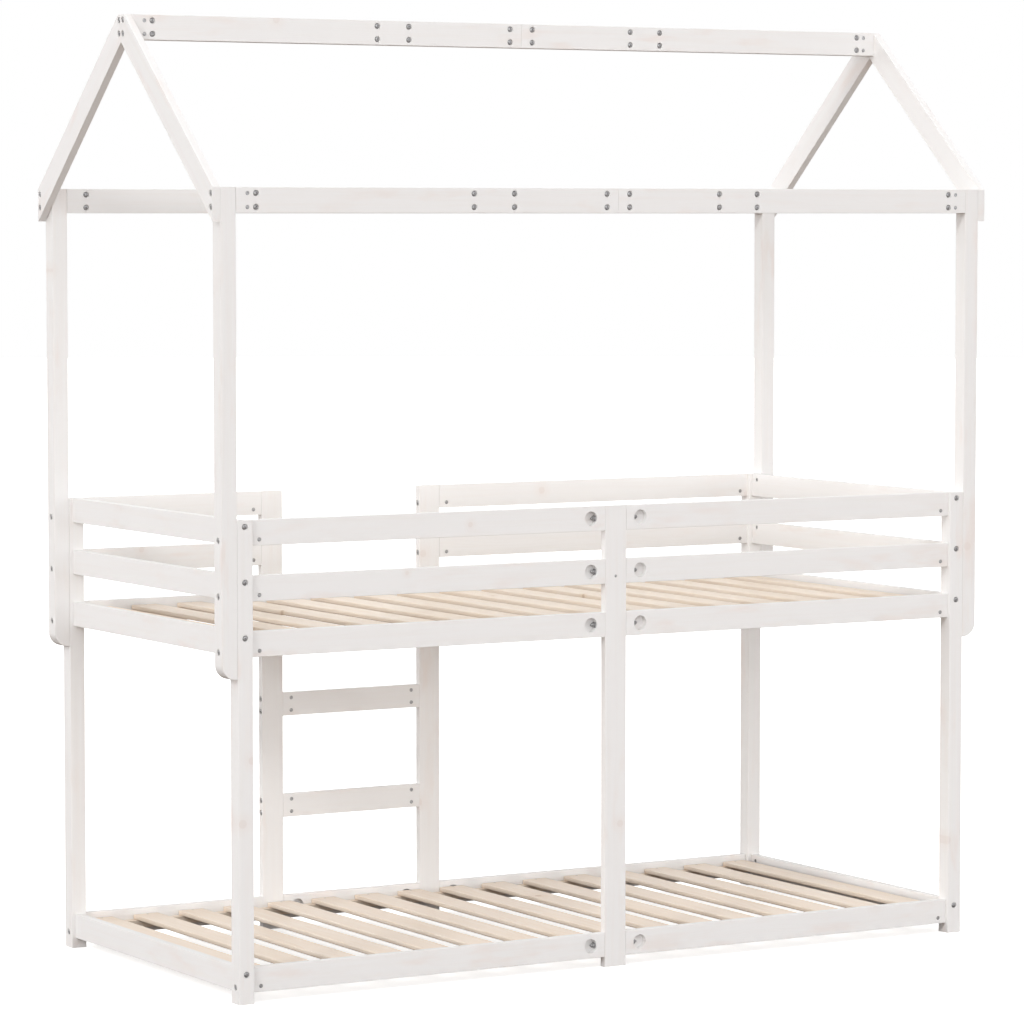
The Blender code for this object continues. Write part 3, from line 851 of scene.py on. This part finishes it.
def lower_posts():
    """Corner posts: at each level one bolt head across the bed, and at the floor one along it."""
    for face, fy in FACES.items():
        for side, sx in SIDES.items():
            node = f"post_{face}_{side}"
            low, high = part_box(node)
            out_x = high.x if sx > 0 else low.x
            out_y = high.y if fy > 0 else low.y
            sinks = [sink("head", (sx * POST_X, out_y, level + CROSSWISE_UP), -fy * Y_AXIS)
                     for level in LEVELS.values()]
            along_bolt = (out_x, fy * POST_Y, LEVELS["floor_rail"] + LENGTHWISE_UP)
            sinks.append(sink("head", along_bolt, -sx * X_AXIS))
            painted(node, Z_AXIS, Y_AXIS, sinks, POST_ROUND)


def end_rails():
    """Rails across both ends, with barrel nuts let into the inner face."""
    for side, sx in SIDES.items():
        for level_name, level in LEVELS.items():
            node = f"{side}_end_{level_name}"
            low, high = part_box(node)
            inner = low.x if sx > 0 else high.x
            nut_y = POST_INNER_Y - BARREL_FROM_END
            sinks = [sink("barrel", (inner, fy * nut_y, level + CROSSWISE_UP), sx * X_AXIS)
                     for fy in FACES.values()]
            painted(node, Y_AXIS, X_AXIS, sinks)


def long_rail(node, level, left_kind, right_kind):
    """A lengthwise rail. Its barrel nuts and pockets open to the front."""
    low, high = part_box(node)
    sinks = []
    for kind, end, away in ((left_kind, low.x, 1), (right_kind, high.x, -1)):
        if kind == "barrel":
            place = (end + away * BARREL_FROM_END, low.y, level + LENGTHWISE_UP)
        else:
            place = (end + away * POCKET_FROM_END, low.y, level + BOARD_WIDE / 2)
        sinks.append(sink(kind, place, Y_AXIS))
    painted(node, X_AXIS, Y_AXIS, sinks)


def front_rails():
    for level_name, level in LEVELS.items():
        long_rail(f"front_{level_name}_left", level, "barrel", "pocket")
        long_rail(f"front_{level_name}_right", level, "pocket", "barrel")


def centre_post():
    """The board between the front rails, with one small screw low on its guard part."""
    node = "front_centre_post"
    low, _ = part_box(node)
    painted(node, Z_AXIS, Y_AXIS, [sink("screw", (0, low.y, CENTRE_SCREW_Z), Y_AXIS)])


def back_rails():
    """The guards stop at the ladder; the two lower levels run across it."""
    for level_name, level in LEVELS.items():
        guard = level_name.endswith("guard")
        kind = "barrel" if guard else "pocket"
        long_rail(f"back_{level_name}_left", level, "barrel", kind)
        long_rail(f"back_{level_name}_right", level, kind, "barrel")
        if not guard:
            long_rail(f"back_{level_name}_middle", level, kind, kind)


def ladder():
    """Two uprights and two rungs in the back side."""
    rung_pairs = []
    for rung in ("lower", "upper"):
        node = f"ladder_rung_{rung}"
        low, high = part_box(node)
        middle = (low.z + high.z) / 2
        heights = (middle - PAIR_HALF, middle + PAIR_HALF)
        rung_pairs += heights
        ends = (low.x + RUNG_BARREL_FROM_END, high.x - RUNG_BARREL_FROM_END)
        sinks = [sink("barrel", (x, low.y, z), Y_AXIS) for x in ends for z in heights]
        painted(node, X_AXIS, Y_AXIS, sinks)
    for side in SIDES:
        node = f"ladder_upright_{side}"
        low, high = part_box(node)
        opening, outer, into = (high.x, low.x, -X_AXIS) if side == "left" else (low.x, high.x, X_AXIS)
        guards = [LEVELS[name] + LENGTHWISE_UP for name in ("mid_guard", "top_guard")]
        sinks = [sink("head", (opening, POST_Y, z), into) for z in guards]
        sinks += [sink("head", (outer, POST_Y, z), -into) for z in rung_pairs]
        painted(node, Z_AXIS, Y_AXIS, sinks)


def roof_posts():
    """Upper posts, each with its lower outer corner rounded."""
    for face, fy in FACES.items():
        for side, sx in SIDES.items():
            node = f"roof_post_{face}_{side}"
            low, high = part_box(node)
            inner, outer = (low.x, high.x) if sx > 0 else (high.x, low.x)
            y = (low.y + high.y) / 2
            outline = [(inner, y, low.z)]
            for step in range(CORNER_STEPS + 1):
                turn = math.pi / 2 * step / CORNER_STEPS
                outline.append((outer - sx * ROOF_POST_CORNER * (1 - math.sin(turn)), y,
                                low.z + ROOF_POST_CORNER * (1 - math.cos(turn))))
            outline += [(outer, y, high.z), (inner, y, high.z)]
            sinks = [sink("head", (outer, fy * POST_Y, LEVELS[name] + LENGTHWISE_UP), -sx * X_AXIS)
                     for name in ("bed_rail", "mid_guard", "top_guard")]
            painted_outline(node, Z_AXIS, Y_AXIS, outline, sinks, POST_ROUND)


def rafters():
    """Sloping boards, cut upright at the peak and at the eave."""
    for face, fy in FACES.items():
        for side, sx in SIDES.items():
            node = f"rafter_{face}_{side}"
            low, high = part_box(node)
            foot, peak = (low.y, high.y) if fy < 0 else (high.y, low.y)
            x = (low.x + high.x) / 2
            outline = [(x, foot, low.z), (x, foot, EAVE_TOP), (x, fy * RIDGE_FLAT, high.z),
                       (x, peak, high.z), (x, peak, RAFTER_PEAK_UNDER)]
            slope = Vector((0, fy * RIDGE_FLAT - foot, high.z - EAVE_TOP))
            outer = high.x if sx > 0 else low.x
            sinks = [sink("head", (outer, across, middle + up), -sx * X_AXIS)
                     for across, middle in ((fy * (HALF_WIDTH - BOARD_THICK / 2), EAVE_MID),
                                            (fy * BOARD_THICK / 2, RIDGE_MID))
                     for up in (-PAIR_HALF, PAIR_HALF)]
            painted_outline(node, slope, X_AXIS, outline, sinks, BOARD_ROUND)


def beam_board(node, middle, bolts, barrel_x, open_face):
    """One board of a two-layer roof beam, with bolt heads and barrel nuts on its open face."""
    low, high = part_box(node)
    face_y = high.y if open_face > 0 else low.y
    inward = -open_face * Y_AXIS
    sinks = []
    for up in (-PAIR_HALF, PAIR_HALF):
        places = [("head", bolt * way) for bolt in bolts for way in (-1, 1)]
        places += [("barrel", barrel_x * way) for way in (-1, 1) if barrel_x]
        sinks += [sink(kind, (x, face_y, middle + up), inward) for kind, x in places if low.x < x < high.x]
    painted(node, X_AXIS, Y_AXIS, sinks)


def roof_beams():
    """Eaves and ridge, each a layer of two boards and a layer of three. Only the ridge has nuts on both."""
    for beam, middle, bolts, barrel_x, outward, both in (
            ("front_eave", EAVE_MID, EAVE_BOLTS, EAVE_BARREL_X, -1, False),
            ("back_eave", EAVE_MID, EAVE_BOLTS, EAVE_BARREL_X, 1, False),
            ("ridge", RIDGE_MID, RIDGE_BOLTS, RIDGE_BARREL_X, -1, True)):
        for part in ("left", "right"):
            beam_board(f"{beam}_outer_{part}", middle, bolts, barrel_x, outward)
        for part in ("left", "middle", "right"):
            beam_board(f"{beam}_inner_{part}", middle, bolts, barrel_x if both else 0, -outward)


# ---------------------------------------------------------------- slatted decks

def slat_deck(deck):
    """Sixteen slats screwed to two ledgers, all made apart."""
    node = f"slat_deck_{deck}"
    low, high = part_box(node)
    for face, fy in FACES.items():
        edge_y = sorted((fy * (WELL_HALF_WIDTH - GAP), fy * (WELL_HALF_WIDTH - LEDGER + GAP)))
        straight(f"ledger_{deck}_{face}", node,
                 (low.x, edge_y[0], low.z), (high.x, edge_y[1], low.z + LEDGER - GAP),
                 X_AXIS, Y_AXIS, (), (BARE_PINE, LEDGER_ROUND))
    for index in range(SLAT_COUNT):
        x = (index - (SLAT_COUNT - 1) / 2) * SLAT_PITCH
        sinks = [sink("screw", (x, fy * SLAT_SCREW_Y, high.z), -Z_AXIS) for fy in FACES.values()]
        straight(f"slat_{deck}_{index + 1:02d}", node,
                 (x - SLAT_WIDE / 2, -SLAT_LONG / 2, high.z - SLAT_THICK),
                 (x + SLAT_WIDE / 2, SLAT_LONG / 2, high.z),
                 Y_AXIS, Z_AXIS, sinks, (BARE_PINE, SLAT_ROUND))


add_camera()
add_floor()
add_world()
add_lights()
PAINTED_PINE = painted_pine()
BARE_PINE = bare_pine()
ZINC_STEEL = zinc_steel()

lower_posts()
end_rails()
front_rails()
back_rails()
centre_post()
ladder()
roof_posts()
rafters()
roof_beams()
slat_deck("lower")
slat_deck("upper")
